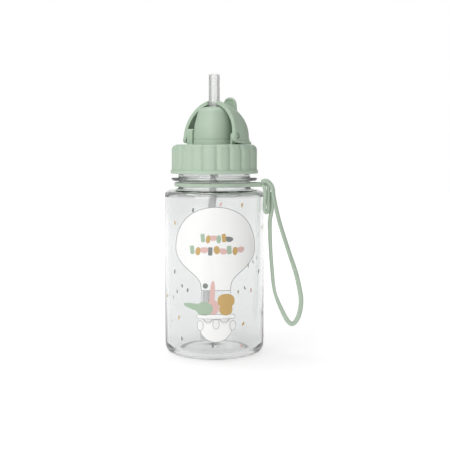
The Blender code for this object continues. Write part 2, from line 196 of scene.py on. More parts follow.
def thread(start_z, turns, up):
    """A right-hand ridge on a turned surface: its height is the cosine of the distance up from the helix."""
    def shape(r, z, a):
        turn_on = (a - np.pi / 2) % (2 * np.pi) / (2 * np.pi)
        raised = np.zeros_like(r)
        for lap in range(int(np.ceil(turns)) + 1):
            laps = turn_on + lap
            from_ridge = (z - start_z * MM - PITCH * MM * laps) / (THREAD_HALF * MM)
            ends = np.clip(np.minimum(laps, turns - laps) * 12, 0, 1)
            ridge = np.clip(np.cos(from_ridge * np.pi / 2), 0, 1) * (abs(from_ridge) < 1)
            raised = np.maximum(raised, ends * ridge)
        return r + up * MM * raised
    return shape


neck_ridge = thread(NECK_THREAD_Z, THREAD_TURNS, THREAD_UP)


def neck_thread(r, z, a):
    """The thread's ridge, on the neck's outside only."""
    on_neck = (abs(r - NECK_R * MM) < 0.0002) & (z > 0.119) & (z < 0.1335)
    return np.where(on_neck, neck_ridge(r, z, a), r)


# Water-clear copolyester: no tint to speak of, a polished face and a slight moulding waviness.
clear, tree, shader = new_finish(
    "clear_copolyester_polished", Base_Color=linear("#eeefef"), Roughness=0.02, IOR=1.54,
    Transmission_Weight=1.0)
where = add(tree, "ShaderNodeTexCoord")
waves = add(tree, "ShaderNodeTexNoise",
            [("Vector", where.outputs["Object"]), ("Scale", 55.0), ("Detail", 1.0)])
relief = add(tree, "ShaderNodeBump",
             [("Height", waves.outputs["Fac"]), ("Strength", 0.06), ("Distance", 0.0006)])
tree.links.new(relief.outputs["Normal"], shader.inputs["Normal"])


def let_light_in(tree, shader, share):
    """Light that falls through a clear wall reaches what is inside: its shadow is only a light tint."""
    path = add(tree, "ShaderNodeLightPath")
    soft = add(tree, "ShaderNodeMath",
               [(0, path.outputs["Is Shadow Ray"]), (1, path.outputs["Is Diffuse Ray"])], operation="MAXIMUM")
    clear_way = add(tree, "ShaderNodeBsdfTransparent", [("Color", (share, share, share, 1.0))])
    both = add(tree, "ShaderNodeMixShader", [(0, soft.outputs["Value"]), (1, shader.outputs["BSDF"]),
                                             (2, clear_way.outputs["BSDF"])])
    tree.links.new(both.outputs["Shader"], tree.nodes["Material Output"].inputs["Surface"])


let_light_in(tree, shader, 0.93)
bottle = turned("bottle_clear", body_profile, 192, clear, "bottle", "bottle_body", shape=neck_thread,
                sharp=60.0)


# ---- print ---------------------------------------------------------------------------
# Pad-printed ink on the outside of the wall: a white balloon with a thin grey outline, plain coloured
# shapes, a scalloped basket, and dashes scattered all round. A film 0.04 mm thick, in layers.
ink = {}
for name, colour, cover in (("white", "#fbfbfa", 0.80), ("grey", "#7f8381", 1.0), ("sage", "#a3b8a1", 1.0),
                            ("pink", "#d9b4ae", 1.0), ("mustard", "#c5a468", 1.0)):
    ink[name], tree, shader = new_finish(
        "print_ink_" + name, Base_Color=linear(colour), Roughness=0.5, Alpha=cover)
FILM = 0.04


def on_wall(s, z, above):
    """Points above the wall: x = R sin(s / R), y = -R cos(s / R), s going round from the front."""
    radius = BODY_R + above
    return np.stack([radius * np.sin(s / BODY_R), -radius * np.cos(s / BODY_R), z], axis=-1) * MM


def filled(outline, layer):
    """A film over an outline: rings shrink in equal steps from the outline to its middle, above and below."""
    middle = outline.mean(axis=0)
    rings = max(3, int(np.linalg.norm(outline - middle, axis=1).max() / 1.4) + 1)
    share = np.linspace(0, 1, rings + 1)
    share = np.concatenate([share, share[::-1]])[:, None, None]
    above = layer * 0.05 + 0.02 + FILM * (np.arange(2 * rings + 2) <= rings)[:, None]
    flat = middle + (outline - middle) * share
    rows = on_wall(flat[..., 0], flat[..., 1], above)
    return rows.reshape(-1, 3), quads(len(rows), len(outline), close_columns=True)


def stroked(path, width, layer, closed=False):
    """A film along a line: its two edges lie half the width to either side of the path."""
    along = np.gradient(np.vstack([path[-1:], path, path[:1]]) if closed else path, axis=0)
    along = along[1:-1] if closed else along
    along /= np.linalg.norm(along, axis=1, keepdims=True)
    side = np.stack([-along[:, 1], along[:, 0]], axis=1) * width / 2
    low, high = layer * 0.05 + 0.02, layer * 0.05 + 0.02 + FILM
    corners = ((1, high), (-1, high), (-1, low), (1, low))
    rows = np.stack([on_wall(*(path + k * side).T, above) for k, above in corners])
    faces = quads(4, len(path), close_rows=True, close_columns=closed)
    if not closed:
        n = len(path)
        faces = np.vstack([faces, [[0, n, 2 * n, 3 * n]], [[n - 1, 2 * n - 1, 3 * n - 1, 4 * n - 1]]])
    return rows.reshape(-1, 3), faces


def printed(name, colour, shapes):
    """One piece of ink from several films."""
    start = np.cumsum([0] + [len(points) for points, _ in shapes])
    points = np.concatenate([points for points, _ in shapes])
    faces = np.concatenate([faces + first for (_, faces), first in zip(shapes, start)])
    made = piece("print_" + name, points, faces, ink[colour], "bottle", sharp=60.0)
    return made


def rounded_shape(s, z, wide, high, lobes=4, roundness=4.0, tilt=0.0, steps=40):
    """Superformula outline: r = (|cos(m t / 4)|^n + |sin(m t / 4)|^n)^(-1 / n), m lobes, leaning by tilt."""
    t = np.arange(steps) * 2 * np.pi / steps
    quarter = lobes * t / 4
    r = (abs(np.cos(quarter)) ** roundness + abs(np.sin(quarter)) ** roundness) ** (-1 / roundness)
    x, y = r * np.cos(t) * wide / 2, r * np.sin(t) * high / 2
    return np.stack([s + x * np.cos(tilt) - y * np.sin(tilt),
                     z + x * np.sin(tilt) + y * np.cos(tilt)], axis=1)


def smooth_path(knots, count):
    """A Catmull-Rom curve through the knots, read at `count` points an equal distance apart."""
    knots = np.asarray(knots, float)
    ends = np.vstack([2 * knots[0] - knots[1], knots, 2 * knots[-1] - knots[-2]])
    t = np.linspace(0, 1, 60, endpoint=False)[None, :, None]
    a, b, c, d = (ends[k:len(ends) - 3 + k][:, None] for k in range(4))
    curve = 0.5 * (2 * b + (c - a) * t + (2 * a - 5 * b + 4 * c - d) * t ** 2
                   + (3 * b - a - 3 * c + d) * t ** 3)
    fine = np.vstack([curve.reshape(-1, knots.shape[1]), knots[-1:]])
    along = np.concatenate([[0], np.cumsum(np.linalg.norm(np.diff(fine, axis=0), axis=1))])
    at = np.linspace(0, along[-1], count)
    return np.stack([np.interp(at, along, fine[:, k]) for k in range(knots.shape[1])], axis=1)


# The balloon: half an ellipse above its widest height, and a smooth line through given points to its mouth.
PRINT_S = 1.0
t = np.linspace(0, np.pi / 2, 60)
crown = np.stack([29.1 * np.sin(t), 72.4 + 27.1 * np.cos(t)], axis=1)
flank = smooth_path([(29.1, 72.4), (28.3, 68.8), (25.6, 65.0), (20.2, 60.4), (15.4, 56.9), (12.0, 53.9),
                     (10.0, 50.6), (9.4, 46.2)], 50)
mouth = np.stack([np.linspace(9.4, -9.4, 16)[1:-1], np.full(14, 46.2)], axis=1)
right = np.vstack([crown, flank[1:]])
balloon = np.vstack([right, mouth, (right * [-1, 1])[::-1][:-1]]) + [PRINT_S, 0]
printed("balloon", "white", [filled(balloon, 0)])

# The basket: a round bowl, a rim band, three drop weights and two lines of swags between them.
t = np.linspace(0, -np.pi, 60)
bowl = np.stack([PRINT_S + 10.9 * np.cos(t), 23.6 + 10.6 * np.sin(t)], axis=1)
back = np.stack([np.linspace(-10.9, 10.9, 20) + PRINT_S, np.full(20, 28.6)], axis=1)
basket = np.vstack([bowl, back])
band = rounded_shape(PRINT_S, 29.4, 24.8, 2.9, roundness=9.0, steps=120)
lines = [stroked(balloon, 0.34, 1, closed=True), stroked(bowl, 0.22, 1), stroked(band, 0.24, 3, closed=True)]
for side in (-1, 1):
    z = np.linspace(30.8, 46.2, 24)
    lines.append(stroked(np.stack([PRINT_S + side * (9.8 - 0.4 * (z - 30.8) / 15.4), z], axis=1), 0.22, 1))
drops = []
for middle in (-10.2, 0.0, 10.9):
    drop = rounded_shape(PRINT_S + middle, 24.6 - 0.10 * abs(middle), 3.9, 6.2, roundness=2.3)
    drops.append(filled(drop, 2))
    lines.append(stroked(drop, 0.24, 3, closed=True))
for middle, wide in ((-5.1, 3.2), (5.4, 3.5)):
    t = np.linspace(-1, 1, 40)
    for deep in (1.6, 2.7):
        swag = np.stack([PRINT_S + middle + wide * t, 27.9 - deep * (1 - t ** 2)], axis=1)
        lines.append(stroked(swag, 0.22, 2))
printed("basket", "white", [filled(basket, 0)])
printed("basket_rim", "white", [filled(band, 2)] + drops)
printed("outlines", "grey", lines)

# Two rows of plain shapes on the balloon, and a few big soft ones that rest on the basket.
# Each mark: colour, distance round, corners, softness, width.
marks = {
    79.5: (("sage", -7.4, 4, 9, 2.6), ("mustard", -3.9, 4, 2, 3.0), ("pink", -0.6, 3, 3, 3.2),
           ("sage", 2.8, 4, 2, 3.0), ("mustard", 6.1, 4, 9, 2.6), ("grey", 9.4, 3, 3, 3.2)),
    71.8: (("sage", -14.6, 4, 9, 2.9), ("mustard", -10.6, 4, 2, 3.5), ("pink", -6.5, 3, 3, 3.6),
           ("grey", -2.6, 4, 9, 2.7), ("mustard", 1.5, 4, 2, 3.9), ("pink", 5.6, 3, 3, 3.6),
           ("sage", 9.6, 4, 9, 2.9), ("mustard", 13.6, 4, 2, 3.5), ("pink", 17.6, 3, 3, 3.6)),
}
shapes = {"sage": [], "mustard": [], "pink": [], "grey": []}
for z, row in marks.items():
    for k, (colour, s_at, corners, soft, wide) in enumerate(row):
        lean = (0.10, -0.14, 0.06, -0.05)[k % 4] + (math.pi / 2 if corners == 3 else 0)
        mark = rounded_shape(s_at, z + 0.4 * (-1) ** k, wide, 5.3, corners, soft, lean)
        shapes[colour].append(filled(mark, 2))
# Each big shape: colour, distance round, height, width, tallness, softness, lean, layer.
for colour, s_at, z, wide, high, soft, lean, layer in (
        ("sage", -11.0, 35.2, 21.0, 4.4, 1.8, -0.16, 1), ("sage", -6.6, 34.4, 11.0, 8.6, 2.2, 0.0, 2),
        ("pink", -1.4, 42.0, 3.4, 21.0, 2.4, -0.05, 1), ("pink", -1.0, 35.4, 8.0, 9.4, 2.2, 0.0, 1),
        ("grey", -5.8, 49.2, 3.4, 3.4, 2.0, 0.0, 3), ("mustard", 7.6, 39.6, 11.2, 8.8, 2.4, 0.0, 2),
        ("mustard", 7.4, 34.2, 8.6, 8.0, 2.3, 0.0, 3)):
    shapes[colour].append(filled(rounded_shape(s_at, z, wide, high, roundness=soft, tilt=lean), layer))

# Dashes: some beside the balloon at chosen places, the rest on two irrational steps round the back.
dashes = [(-14.0, 97.5), (4.2, 101.4), (18.7, 100.6), (-29.1, 88.8), (43.2, 84.9), (-29.4, 57.1),
          (35.1, 56.7), (-18.1, 45.9), (26.4, 45.1), (-40.3, 40.0), (-25.4, 27.5), (19.7, 24.0),
          (43.3, 27.7), (-22.8, 14.0), (-1.0, 10.7), (18.4, 9.8)]
step = np.arange(20)
back_s = 50.0 + (step * 0.618034 % 1.0) * 108.0
back_z = 12.0 + (step * 0.7548777 % 1.0) * 86.0
dashes += [(float(s_at), float(z)) for s_at, z in zip(back_s, back_z)]
for k, (s_at, z) in enumerate(dashes):
    colour = ("grey", "pink", "mustard", "mustard", "mustard", "grey", "grey")[k % 7]
    lean = math.radians((-8, -30, -6, 6, -12)[k % 5])
    shapes[colour].append(filled(rounded_shape(s_at, z, 1.3, 2.7, roundness=3.0, tilt=lean, steps=20), 0))
for colour, films in shapes.items():
    printed("shapes_" + colour, colour, films)


# ---- sealing ring --------------------------------------------------------------------
# Flat ring die-cut from silicone sheet, held in the corner under the deck; the rim seals on it.
ring_silicone, tree, shader = new_finish(
    "silicone_natural", Base_Color=linear("#e9ebe8"), Roughness=0.45, IOR=1.41, Transmission_Weight=0.4)
ring_profile = rounded([(21.4, 136.4, 0.3), (24.9, 136.4, 0.3), (24.9, 134.3, 0.3), (21.4, 134.3, 0.3)], 4,
                       closed=True)
ring = turned("sealing_ring_silicone", ring_profile, 96, ring_silicone, "seal", "sealing_ring", closed=True)


# ---- screw collar --------------------------------------------------------------------
# Injection-moulded sage polypropylene: twenty broad grip lobes with narrow valleys, a flared hem,
# a soft top edge and a flat deck, with the thread inside. The hinge lugs are moulded on the deck.
COLLAR_R, COLLAR_BORE, DECK_Z, RIBS, RIB_PHASE = 28.3, 25.4, 139.4, 20, math.radians(3.4)


def lobes(r, z, a):
    """Radius falls between lobes by (1 - |sine of ten times the angle|)^2, fading out at deck and hem."""
    up = np.clip((z / MM - 122.4) / 1.2, 0, 1)
    out = np.clip((r / MM - 25.6) / 2.2, 0, 1)
    valley = (1 - np.sqrt(np.sin(RIBS * (a + np.pi / 2 - RIB_PHASE) / 2) ** 2 + 0.003)) ** 2
    outside = r > (COLLAR_BORE + 0.6) * MM
    return r - np.where(outside, 1.15 * MM * up * out * valley, 0.0)


cap_ridge = thread(NECK_THREAD_Z + PITCH / 2, THREAD_TURNS, -THREAD_UP)


def collar_shape(r, z, a):
    """The thread's ridge inside the bore, and the grip lobes elsewhere."""
    in_bore = (abs(r - COLLAR_BORE * MM) < 0.0002) & (z > 0.1208) & (z < 0.136)
    return np.where(in_bore, cap_ridge(r, z, a), lobes(r, z, a))


# Sage polypropylene straight from a fine-sparked mould: satin, with an even very fine grain.
def sage_finish(name, colour):
    """Satin moulded polypropylene with fine spark grain and a faint cloudy mottle."""
    material, tree, shader = new_finish(
        name, Roughness=0.42, IOR=1.49, Subsurface_Weight=0.06, Subsurface_Scale=0.002,
        Subsurface_Radius=(1.0, 1.0, 0.8))
    where = add(tree, "ShaderNodeTexCoord")
    cloud = add(tree, "ShaderNodeTexNoise",
                [("Vector", where.outputs["Object"]), ("Scale", 45.0), ("Detail", 3.0)])
    shade = add(tree, "ShaderNodeValToRGB", [("Fac", cloud.outputs["Fac"])])
    shade.color_ramp.elements[0].position = 0.3
    shade.color_ramp.elements[1].position = 0.7
    shade.color_ramp.elements[0].color = [c * 0.975 for c in linear(colour)[:3]] + [1.0]
    shade.color_ramp.elements[1].color = linear(colour)
    tree.links.new(shade.outputs["Color"], shader.inputs["Base Color"])
    grain = add(tree, "ShaderNodeTexNoise",
                [("Vector", where.outputs["Object"]), ("Scale", 1800.0), ("Detail", 2.0)])
    rough = add(tree, "ShaderNodeMapRange",
                [("Value", grain.outputs["Fac"]), ("To Min", 0.36), ("To Max", 0.50)])
    tree.links.new(rough.outputs["Result"], shader.inputs["Roughness"])
    relief = add(tree, "ShaderNodeBump",
                 [("Height", grain.outputs["Fac"]), ("Strength", 0.15), ("Distance", 0.0001)])
    tree.links.new(relief.outputs["Normal"], shader.inputs["Normal"])
    return material


sage = sage_finish("polypropylene_sage_satin", "#afc2ae")
collar_profile = rounded([
    (5.9, DECK_Z, 0.3), (COLLAR_R, DECK_Z, 3.9), (COLLAR_R, 122.9, 0.5), (29.0, 122.2, 0.4),
    (29.0, 120.2, 0.5), (COLLAR_BORE, 120.2, 0.5), (COLLAR_BORE, 136.7, 0.4), (5.9, 136.7, 0.3),
], 8, closed=True)
collar_profile = finer(collar_profile, 0.0, 0.08, 0.0005)
collar = turned("screw_collar_sage", collar_profile, 400, sage, "cap", "screw_collar", closed=True,
                shape=collar_shape, sharp=50.0)

LID_TURN = math.radians(-43.0)
PIVOT_Z, PIVOT_F = 144.9, 2.0


def lid_place(across, forward, up):
    """Lid coordinates in millimetres (across the hinge, forward, above the hinge) as points in metres."""
    cos, sin = math.cos(LID_TURN), math.sin(LID_TURN)
    x = across * cos + forward * sin
    y = across * sin - forward * cos
    return np.stack([x, y, up + PIVOT_Z + 0 * x], axis=-1) * MM


def slab(outline, low, high, edge, steps=5):
    """A plate with rounded rims: the outline shrinks towards its middle along a quarter circle at each face.

    outline is a closed loop of (forward, up) points. Rows run from one face's middle over both rims
    to the other face's middle.
    """
    middle = outline.mean(axis=0)
    reach = np.linalg.norm(outline - middle, axis=1, keepdims=True)
    out = (outline - middle) / reach
    angle = np.linspace(0, np.pi / 2, steps + 1)
    shrink = np.concatenate([[1e3], edge * (1 - np.sin(angle)), edge * (1 - np.sin(angle[::-1])), [1e3]])
    inset = edge * (1 - np.cos(angle))
    across = np.concatenate([[low], low + inset, high - inset[::-1], [high]])
    rows = middle + out * np.clip(reach - shrink[:, None, None], 0, None)
    return rows, np.broadcast_to(across[:, None], rows.shape[:2])


def half_round(low, high, top, foot, steps=24):
    """Outline of a lug: upright sides and a half-round top, (forward, up) points."""
    radius, middle = (high - low) / 2, (high + low) / 2
    angle = np.linspace(0, np.pi, steps)
    crown = np.stack([middle + radius * np.cos(angle), top - radius + radius * np.sin(angle)], axis=1)
    side = np.linspace(0, 1, 6)[1:, None]
    down = crown[-1] + side * ([low, foot] - crown[-1])
    along = down[-1] + side * ([high, foot] - down[-1])
    up = along[-1] + side[:-1] * (crown[0] - along[-1])
    return np.vstack([crown, down, along, up])


LUG_FOOT = DECK_Z - PIVOT_Z - 1.0
rows, across = slab(half_round(-0.1, 4.1, 2.1, LUG_FOOT), 17.8, 19.3, 0.5)
points = lid_place(across, rows[..., 0], rows[..., 1]).reshape(-1, 3)
lug = piece("hinge_lug_near", points, quads(*across.shape, close_columns=True), sage, "cap")

# The far lug is broad and is a stop too. Its outer face follows the hood: across = -sqrt(R^2 - forward^2).
FAR_IN, FAR_R = 14.0, 20.2
block = rounded([(-2.6, LUG_FOOT, 0.2), (6.8, LUG_FOOT, 0.2), (6.8, 4.9, 2.2), (-2.6, 4.9, 2.2)], 8,
                closed=True) / MM
rows, share = slab(block, FAR_IN, FAR_R, 0.5)
share = (share - FAR_IN) / (FAR_R - FAR_IN)
across = -(FAR_IN + share * (np.sqrt(FAR_R ** 2 - rows[..., 0] ** 2) - FAR_IN))
points = lid_place(across, rows[..., 0], rows[..., 1]).reshape(-1, 3)
lug = piece("hinge_lug_far", points, quads(*across.shape, close_columns=True), sage, "cap")

for label, side in (("near", 1), ("far", -1)):
    pin_profile = rounded([(0, 22.4, 0), (1.6, 22.4, 0.4), (1.6, 18.5, 0)], 5)
    angle = np.linspace(0, 2 * np.pi, 33)[:-1]
    out = np.repeat(side * pin_profile[:, 1:] / MM, 32, axis=1)
    radius = pin_profile[:, :1] / MM
    points = lid_place(out, PIVOT_F + radius * np.cos(angle), radius * np.sin(angle)).reshape(-1, 3)
    pin = piece("hinge_pin_" + label, points, quads(len(pin_profile), 32, close_columns=True), sage, "cap")


# ---- vent valve ----------------------------------------------------------------------
# Small umbrella valve of silicone, pulled through a hole in the deck behind the dome.
valve_at = np.array([math.cos(math.radians(86.0)), math.sin(math.radians(86.0)), 0.0]) * 17.2 * MM
valve_profile = rounded([(0, 140.5, 0), (2.5, 140.1, 0.5), (2.5, 139.5, 0.1), (1.4, 139.5, 0.1),
                         (1.4, 136.4, 0.1), (2.0, 136.4, 0.2), (2.0, 135.5, 0.4), (0.9, 133.4, 0.3),
                         (0, 133.4, 0)], 5)
points = turn(valve_profile, 40) + valve_at
valve = piece("vent_valve_silicone", points, quads(len(valve_profile), 40, close_columns=True),
              ring_silicone, "cap", "vent_valve")


# ---- straw sleeve --------------------------------------------------------------------
# Silicone sleeve pushed into the deck: the mouth straw sits in its top and the lower straw in its foot.
sleeve_profile = rounded([(3.9, 140.6, 0.3), (7.5, 140.6, 0.4), (7.5, 139.5, 0.3), (5.6, 139.5, 0.2),
                          (5.6, 125.6, 0.6), (2.8, 125.6, 0.3), (2.8, 135.8, 0.2), (3.9, 135.8, 0.2)], 5,
                         closed=True)
sleeve = turned("straw_sleeve_silicone", sleeve_profile, 64, ring_silicone, "cap", "straw_sleeve",
                closed=True)


# ---- straws --------------------------------------------------------------------------
# The lower straw is extruded frosted polyethylene, cut square at both ends and a little bowed.
# The mouth straw is soft clear silicone tube, cut square, that folds flat under the hood.

def frames_along(path, first_side):
    """Unit tangents, sides and ups along a path; the side is carried along with the least twist."""
    tangent = np.gradient(path, axis=0)
    tangent /= np.linalg.norm(tangent, axis=1, keepdims=True)
    side = np.array(first_side, float)
    sides = []
    for t in tangent:
        side = side - t * (side @ t)
        side = side / np.linalg.norm(side)
        sides.append(side)
    sides = np.array(sides)
    return tangent, sides, np.cross(tangent, sides)


def tube_wall(path, outer, inner, around, first_side=(0, 1, 0)):
    """A tube with a bore along a path: rows go along the outside, then back along the inside.

    At both ends each face draws in by a quarter of the wall, which softens the cut edge.
    """
    tangent, side, up = frames_along(path, first_side)
    angle = np.arange(around) * 2 * np.pi / around
    ring = side[:, None] * np.cos(angle)[:, None] + up[:, None] * np.sin(angle)[:, None]
    outside = path[:, None] + outer * ring
    inside = path[::-1, None] + inner * ring[::-1]
    lip = (outer - inner) * 0.25
    for rows, step, spokes in ((outside, -lip, ring), (inside, lip, ring[::-1])):
        rows[0] += step * spokes[0]
        rows[-1] += step * spokes[-1]
    rows = np.concatenate([outside, inside])
    return rows.reshape(-1, 3), quads(len(rows), around, close_rows=True, close_columns=True)


frosted, tree, shader = new_finish(
    "polyethylene_frosted", Base_Color=linear("#fafafa"), Roughness=0.35, IOR=1.3, Transmission_Weight=0.72)
lower_route = [(0, 0, 135.0), (0, 0, 125.0), (-0.4, 0, 115.0), (-4.0, 0.6, 60.0), (-7.2, 1.2, 8.0)]
lower_path = smooth_path(np.array(lower_route) * MM, 60)
points, faces = tube_wall(lower_path, 2.5 * MM, 1.8 * MM, 40)
lower_straw = piece("lower_straw_frosted", points, faces, frosted, "cap", "lower_straw")

straw_silicone, tree, shader = new_finish(
    "silicone_clear_tube", Base_Color=linear("#f3f4f3"), Roughness=0.1, IOR=1.28, Transmission_Weight=0.85)
let_light_in(tree, shader, 0.9)
STRAW_FOLD = 164.4 * MM
for name, low, high in (("mouth_straw_stem", 136.8 * MM, STRAW_FOLD),
                        ("mouth_straw_tip", STRAW_FOLD, 185.6 * MM)):
    mouth_path = np.stack([np.zeros(60), np.zeros(60), np.linspace(low, high, 60)], axis=1)
    points, faces = tube_wall(mouth_path, 3.6 * MM, 2.3 * MM, 64)
    mouth_straw = piece(name, points, faces, straw_silicone, "cap", "mouth_straw")
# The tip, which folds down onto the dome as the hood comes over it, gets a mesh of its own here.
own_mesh(mouth_straw)


# ---- spout dome ----------------------------------------------------------------------
# Sage polypropylene moulding that snaps into the deck: nearly upright flanks, a round shoulder,
# an almost flat top with the straw's hole, and a shallow ring just above the deck.
dome_profile = rounded([
    (3.9, 164.3, 0.4), (8.0, 163.6, 3.0), (10.6, 161.4, 3.4), (13.1, 152.0, 14.0), (13.5, 143.0, 3.0),
    (13.2, 142.4, 0.3), (13.6, 141.9, 0.3), (13.7, 140.3, 0.5), (14.0, 139.5, 0.2), (11.8, 139.5, 0.3),
    (11.6, 146.0, 6.0), (9.6, 159.5, 4.0), (7.0, 162.0, 1.0), (3.9, 162.3, 0.3),
], 8, closed=True)
dome = turned("spout_dome_sage", dome_profile, 160, sage, "cap", "spout_dome", closed=True)


# ---- hood ----------------------------------------------------------------------------
# Sage polypropylene hood, moulded in one with its thumb tab: a 1.7 mm shell with a raised lip along
# its front rim and hem, a U-shaped notch that clears the straw, and a hole for each hinge pin.
HOOD_R, HOOD_WALL, HOOD_SKIRT, HOOD_CURVE = 22.9, 1.7, 5.35, 1.9
NOTCH = 4.2


def smooth_step(x):
    """0 below 0, 1 above 1 and 3x^2 - 2x^3 between."""
    x = np.clip(x, 0, 1)
    return x * x * (3 - 2 * x)


def hood_height(r, radius):
    """Height of the shell at a distance from its axis: |r|^n + |z|^n = radius^n."""
    return radius * np.clip(1 - (r / radius) ** HOOD_CURVE, 0, None) ** (1 / HOOD_CURVE)


def rim_forward(up):
    """How far forward the front rim is: a line that leans back, with its foot rounded by a 3.2 mm arc."""
    line = 5.4 - 3.7 / HOOD_R * up
    arc = 2.45 + np.sqrt(np.clip(3.2 ** 2 - np.minimum(up + 2.1, 0) ** 2, 0, None))
    return np.minimum(line, arc)


def hood_sheet(radius, rows_up, back_steps=110, front_steps=40):
    """The shell as a grid of rows from hem to notch, each row running from near rim to far rim.

    A row is a half circle behind the axis, of radius rho. In front of the axis it runs on to the rim
    along across^2 = rho^2 - k forward^2, where k goes from 1, a circle, at the foot to 0, a straight
    line, at the notch. On the skirt rho is the shell's radius and the row's own height is given.
    """
    skirt, crown = rows_up
    rho = np.concatenate([np.full(len(skirt), radius), crown * (radius - NOTCH) + NOTCH])
    low = np.concatenate([skirt, np.zeros(len(crown))])
    k = 1 - (radius ** 2 - rho ** 2) / (radius ** 2 - NOTCH ** 2)
    front = np.full(len(rho), 5.0)
    for _ in range(30):
        r = np.sqrt(rho ** 2 + (1 - k) * front ** 2)
        up = np.where(low < 0, low, hood_height(r, radius))
        front = 0.5 * front + 0.5 * rim_forward(up)
    share = np.sin(np.linspace(1, 0, front_steps, endpoint=False) * np.pi / 2)
    ahead = share[None, :] * front[:, None]
    beside = np.sqrt(rho[:, None] ** 2 - k[:, None] * ahead ** 2)
    angle = np.linspace(0, np.pi, back_steps + 1)
    behind_x = rho[:, None] * np.cos(angle)
    behind_f = -rho[:, None] * np.sin(angle)
    across = np.hstack([beside, behind_x, -beside[:, ::-1]])
    forward = np.hstack([ahead, behind_f, ahead[:, ::-1]])
    r = np.hypot(across, forward)
    up = np.where(low[:, None] < 0, low[:, None], hood_height(r, radius))
    splay = 1 + 0.040 * smooth_step(-up / HOOD_SKIRT)
    lift = 0.7 * smooth_step((forward + 4) / 8) * smooth_step(-up / HOOD_SKIRT)
    return np.stack([across * splay, forward * splay, up + lift], axis=-1)


def outward(sheet):
    """Unit normals of a grid: the cross product of its directions, pointing away from the hood's inside."""
    along_u = np.gradient(sheet, axis=1)
    along_v = np.gradient(sheet, axis=0)
    normal = np.cross(along_v, along_u)
    normal /= np.linalg.norm(normal, axis=2, keepdims=True)
    return normal * np.sign((normal * (sheet - [0, 0, -8])).sum(axis=2, keepdims=True))


def closed_shell(front, back):
    """Points and quads of two like grids, the second turned over, joined by a rim round their edges."""
    rows, columns = front.shape[:2]
    count = rows * columns
    index = np.arange(count).reshape(rows, columns)
    edge = np.concatenate([index[0, :-1], index[:-1, -1], index[-1, :0:-1], index[:0:-1, 0]])
    on = np.roll(edge, -1)
    rim = np.stack([edge, on, on + count, edge + count], axis=1)
    sheet = quads(rows, columns)
    points = np.concatenate([front.reshape(-1, 3), back.reshape(-1, 3)])
    return points, np.concatenate([sheet, sheet[:, ::-1] + count, rim])


skirt_rows = np.linspace(-HOOD_SKIRT, -0.15, 36)
crown_rows = np.cos(np.linspace(0, 1, 80) * np.pi / 2)
outside = hood_sheet(HOOD_R, (skirt_rows, crown_rows))
inside = hood_sheet(HOOD_R - HOOD_WALL, (skirt_rows, crown_rows))
step = np.linalg.norm(np.diff(outside, axis=1), axis=2)
from_near = np.concatenate([np.zeros((len(step), 1)), np.cumsum(step, axis=1)], axis=1)
from_rim = np.minimum(from_near, from_near[:, -1:] - from_near)
climb = np.linalg.norm(np.diff(outside, axis=0), axis=2)
from_hem = np.concatenate([np.zeros((1, outside.shape[1])), np.cumsum(climb, axis=0)])
lip = np.maximum(smooth_step((2.4 - from_rim) / 0.45), smooth_step((1.8 - from_hem) / 0.45))
outside = outside + outward(outside) * (0.75 * lip)[..., None]
points, faces = closed_shell(outside, inside)
hood = piece("hood_sage", lid_place(*points.T), faces, sage, "hood", "hood", sharp=50.0)


def drill(made, radius, low, high):
    """Cuts round holes along the hinge axis, from low to high on both sides, and keeps the cut mesh."""
    angle = np.linspace(0, 2 * np.pi, 49)[:-1]
    reach = np.array([0.0, radius, radius, 0.0])[:, None]
    for side in (-1, 1):
        out = side * np.array([low, low, high, high])[:, None]
        points = lid_place(out + 0 * angle, PIVOT_F + reach * np.cos(angle), reach * np.sin(angle))
        cutter = piece("cutter", points.reshape(-1, 3), quads(4, 48, close_columns=True), sage, "hood")
        cut = made.modifiers.new("hole", "BOOLEAN")
        cut.operation = "DIFFERENCE"
        cut.solver = "EXACT"
        cut.object = cutter
        bpy.context.view_layer.update()
        evaluated = made.evaluated_get(bpy.context.evaluated_depsgraph_get())
        shape = bpy.data.meshes.new_from_object(evaluated)
        made.modifiers.remove(cut)
        made.data = shape
        bpy.data.objects.remove(cutter)
    made.data.set_sharp_from_angle(angle=math.radians(50))


drill(hood, 1.9, 15.0, 30.0)
soft_edges = hood.modifiers.new("soft_edges", "BEVEL")
soft_edges.width = 0.45 * MM
soft_edges.segments = 3
soft_edges.angle_limit = math.radians(50)
soft_edges.harden_normals = False

# The thumb tab: a round-topped plate whose front face is dished, flaring into the hood at its foot.
TAB_TOP, TAB_HALF, TAB_THICK, TAB_BACK = 26.0, 5.5, 2.8, 15.5


def tab_sheet(front, rows_up=40, columns=33):
    """One face of the tab: half width is a half circle at the top, and the foot flares by a power of e."""
    t = np.sin(np.linspace(0, 1, rows_up) * np.pi / 2)[:, None]
    up = 12.0 + (TAB_TOP - 12.0) * t
    crown = np.clip((up - (TAB_TOP - TAB_HALF)) / TAB_HALF, 0, 1)
    flare = np.exp(-(up - 15.0) / 1.6)
    half = TAB_HALF * np.sqrt(1 - crown ** 2) + 0.9 * np.minimum(flare, 1.5)
    u = np.linspace(-1, 1, columns)[None, :]
    across = half * u
    bulge = (1 - u ** 2) * (1 - crown ** 2)
    dish = 1.3 * (smooth_step((up - 15.5) / 2) * smooth_step((24.9 - up) / 1.6)
                  * smooth_step((0.86 - abs(u)) / 0.3))
    depth = TAB_THICK / 2 * (bulge ** 0.18) + 1.1 * np.minimum(flare, 1.5)
    forward = -TAB_BACK + (depth - dish if front else -depth)
    return np.stack([across, forward, up + 0 * u], axis=-1)


points, faces = closed_shell(tab_sheet(True), tab_sheet(False))
thumb = piece("thumb_tab", lid_place(*points.T), faces, sage, "hood", sharp=60.0)
